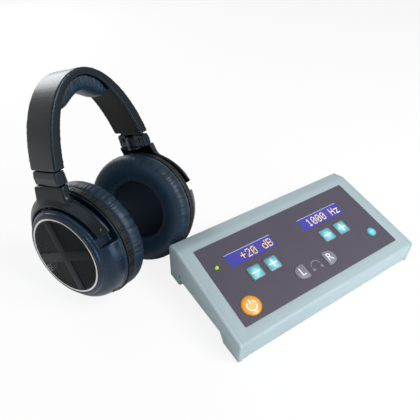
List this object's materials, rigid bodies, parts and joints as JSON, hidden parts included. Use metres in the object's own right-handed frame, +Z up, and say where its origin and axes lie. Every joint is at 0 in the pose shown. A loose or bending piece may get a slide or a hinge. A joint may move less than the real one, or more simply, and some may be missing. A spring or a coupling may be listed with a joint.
{
  "type": "audiometer",
  "caption": "Desk screening audiometer: sloping keypad console with two display windows and a closed-back headset standing behind it.",
  "frame": {"origin": "middle of the set's footprint, on the table", "axes": "+X along the console to its right, +Y from the console's front to its rear, +Z up from the table"},
  "size_m": [0.3015, 0.2147, 0.1796],
  "materials": {
    "badge": "plain",
    "board": "solder mask",
    "case": "satin painted moulding",
    "cloth": "open knit",
    "display": "clear",
    "frame": "moulded",
    "key_grey": "domed, white letter",
    "key_orange": "domed, white power sign",
    "key_teal": "domed, white sign",
    "lamp": "lit green",
    "mesh": "black",
    "overlay": "fine-textured printed film",
    "pad": "artificial leather, gathered",
    "parts": "moulded",
    "ring": "bright",
    "rubber": "matte",
    "shell": "soft sheen",
    "shell_gloss": "satin",
    "steel": "plain",
    "window": "tinted, clear"
  },
  "bodies": {
    "console": {"case_top": "case", "case_base": "case", "rear_panel": "overlay", "left_end_cap": "case", "right_end_cap": "case", "case_screws": "steel", "rubber_feet": "rubber", "panel_overlay": "overlay", "display_windows": "window", "key_board": "board", "key_switches": "parts", "level_display_glass": "display", "level_display_frame": "frame", "frequency_display_glass": "display", "frequency_display_frame": "frame", "status_lamp": "lamp", "round_badge": "badge", "main_board": "board", "board_components": "parts", "board_screws": "steel", "headphone_socket": "parts", "reply_socket": "parts", "power_inlet": "parts"},
    "power_key": {"power_key": "key_orange"},
    "level_down_key": {"level_down_key": "key_teal"},
    "level_up_key": {"level_up_key": "key_teal"},
    "frequency_down_key": {"frequency_down_key": "key_teal"},
    "frequency_up_key": {"frequency_up_key": "key_teal"},
    "left_ear_key": {"left_ear_key": "key_grey"},
    "right_ear_key": {"right_ear_key": "key_grey"},
    "left_cup": {"left_cup_shell": "shell_gloss", "left_trim_ring": "ring", "left_grille": "mesh", "left_collar": "shell", "left_baffle": "shell", "left_driver": "shell", "left_driver_cloth": "cloth", "left_ear_pad": "pad", "cable_socket": "parts"},
    "left_yoke_arm": {"left_yoke": "shell_gloss", "left_pivot_pins": "steel"},
    "left_slider_arm": {"left_slider": "shell_gloss", "left_hinge_cover": "shell_gloss", "left_hinge_screws": "steel"},
    "right_cup": {"right_cup_shell": "shell_gloss", "right_trim_ring": "ring", "right_grille": "mesh", "right_collar": "shell", "right_baffle": "shell", "right_driver": "shell", "right_driver_cloth": "cloth", "right_ear_pad": "pad"},
    "right_yoke_arm": {"right_yoke": "shell_gloss", "right_pivot_pins": "steel"},
    "right_slider_arm": {"right_slider": "shell_gloss", "right_hinge_cover": "shell_gloss", "right_hinge_screws": "steel"},
    "headband": {"headband_shell": "shell", "headband_liner": "shell", "head_pad": "pad"}
  },
  "joints": [
    {"name": "power_key_press", "type": "slide", "parent": "console", "child": "power_key", "axis": [0, 0.2045, -0.9789], "range_m": [0, 0.0004], "stiffness_N_per_m": 600, "springref_m": -0.0015},
    {"name": "level_down_key_press", "type": "slide", "parent": "console", "child": "level_down_key", "axis": [0, 0.2045, -0.9789], "range_m": [0, 0.0004], "stiffness_N_per_m": 600, "springref_m": -0.0015},
    {"name": "level_up_key_press", "type": "slide", "parent": "console", "child": "level_up_key", "axis": [0, 0.2045, -0.9789], "range_m": [0, 0.0004], "stiffness_N_per_m": 600, "springref_m": -0.0015},
    {"name": "frequency_down_key_press", "type": "slide", "parent": "console", "child": "frequency_down_key", "axis": [0, 0.2045, -0.9789], "range_m": [0, 0.0004], "stiffness_N_per_m": 600, "springref_m": -0.0015},
    {"name": "frequency_up_key_press", "type": "slide", "parent": "console", "child": "frequency_up_key", "axis": [0, 0.2045, -0.9789], "range_m": [0, 0.0004], "stiffness_N_per_m": 600, "springref_m": -0.0015},
    {"name": "left_ear_key_press", "type": "slide", "parent": "console", "child": "left_ear_key", "axis": [0, 0.2045, -0.9789], "range_m": [0, 0.0004], "stiffness_N_per_m": 600, "springref_m": -0.0015},
    {"name": "right_ear_key_press", "type": "slide", "parent": "console", "child": "right_ear_key", "axis": [0, 0.2045, -0.9789], "range_m": [0, 0.0004], "stiffness_N_per_m": 600, "springref_m": -0.0015},
    {"name": "headset_lift", "type": "slide", "parent": "console", "child": "right_cup", "axis": [0, 0, 1], "range_m": [0, 0.25]},
    {"name": "right_cup_tilt", "type": "hinge", "parent": "right_cup", "child": "right_yoke_arm", "pos_m": [-0.03615, 0.06553, 0.06325], "axis": [-0.5874, 0.7503, -0.3035], "range_deg": [-1.5, 13]},
    {"name": "right_cup_swivel", "type": "hinge", "parent": "right_yoke_arm", "child": "right_slider_arm", "pos_m": [-0.04199, 0.07481, 0.09747], "axis": [0.037, -0.3497, -0.9361], "range_deg": [-20, 2]},
    {"name": "right_band_extend", "type": "slide", "parent": "right_slider_arm", "child": "headband", "axis": [-0.2788, 0.2518, 0.9268], "range_m": [-0.0018, 0.018]},
    {"name": "left_band_extend", "type": "slide", "parent": "headband", "child": "left_slider_arm", "axis": [-0.2073, -0.4239, -0.8817], "range_m": [-0.00069, 0.018]},
    {"name": "left_cup_swivel", "type": "hinge", "parent": "left_slider_arm", "child": "left_yoke_arm", "pos_m": [-0.12158, 0.04701, 0.10586], "axis": [-0.037, 0.3497, 0.9361], "range_deg": [-18, 2]},
    {"name": "left_cup_tilt", "type": "hinge", "parent": "left_yoke_arm", "child": "left_cup", "pos_m": [-0.12521, 0.03207, 0.07338], "axis": [-0.4691, 0.821, -0.3253], "range_deg": [-10.5, 4]}
  ]
}
